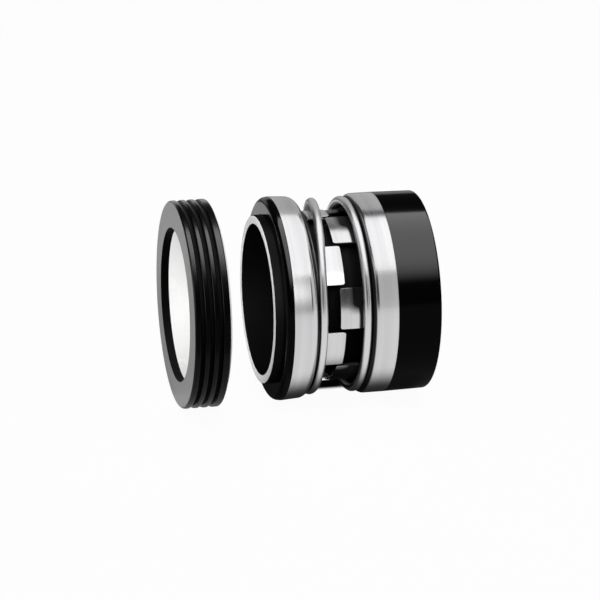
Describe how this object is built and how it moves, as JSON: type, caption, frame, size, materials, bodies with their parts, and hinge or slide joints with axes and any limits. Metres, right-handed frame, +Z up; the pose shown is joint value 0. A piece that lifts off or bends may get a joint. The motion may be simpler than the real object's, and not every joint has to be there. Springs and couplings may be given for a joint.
{
  "type": "component mechanical seal",
  "caption": "Rubber bellows shaft seal: a ribbed stationary seat with a ceramic ring, and a spring-loaded rotating head with a carbon ring and interlocking drive tabs.",
  "frame": {"origin": "centre of the seat's back face, on the shaft's axis", "axes": "+X along the shaft's axis, from the seat to the tail of the head; +Z up as the seal lies"},
  "size_m": [0.0604, 0.0506, 0.0506],
  "materials": {
    "ceramic": "white alumina ceramic, ground all over and lapped on the sealing face",
    "seat_rubber": "moulded black rubber, satin",
    "carbon": "resin-filled carbon graphite, with a lapped grey face on the nose",
    "sheet_steel": "pressed stainless sheet, polished",
    "bellows_rubber": "moulded black rubber, smooth and glossy",
    "spring_steel": "round stainless wire, polished"
  },
  "bodies": {
    "seat": {"seat_ring": "ceramic", "seat_cup": "seat_rubber"},
    "drive_unit": {"drive_band": "sheet_steel", "bellows": "bellows_rubber", "spring": "spring_steel"},
    "face_unit": {"primary_ring": "carbon", "retainer": "sheet_steel"}
  },
  "joints": [
    {"name": "head_spin", "type": "hinge", "parent": "seat", "child": "drive_unit", "pos_m": [0.03, 0, 0], "axis": [1, 0, 0], "continuous": true},
    {"name": "face_travel", "type": "slide", "parent": "drive_unit", "child": "face_unit", "axis": [1, 0, 0], "range_m": [0, 0.004], "stiffness_N_per_m": 8000, "deforming": ["spring", "bellows"]}
  ]
}
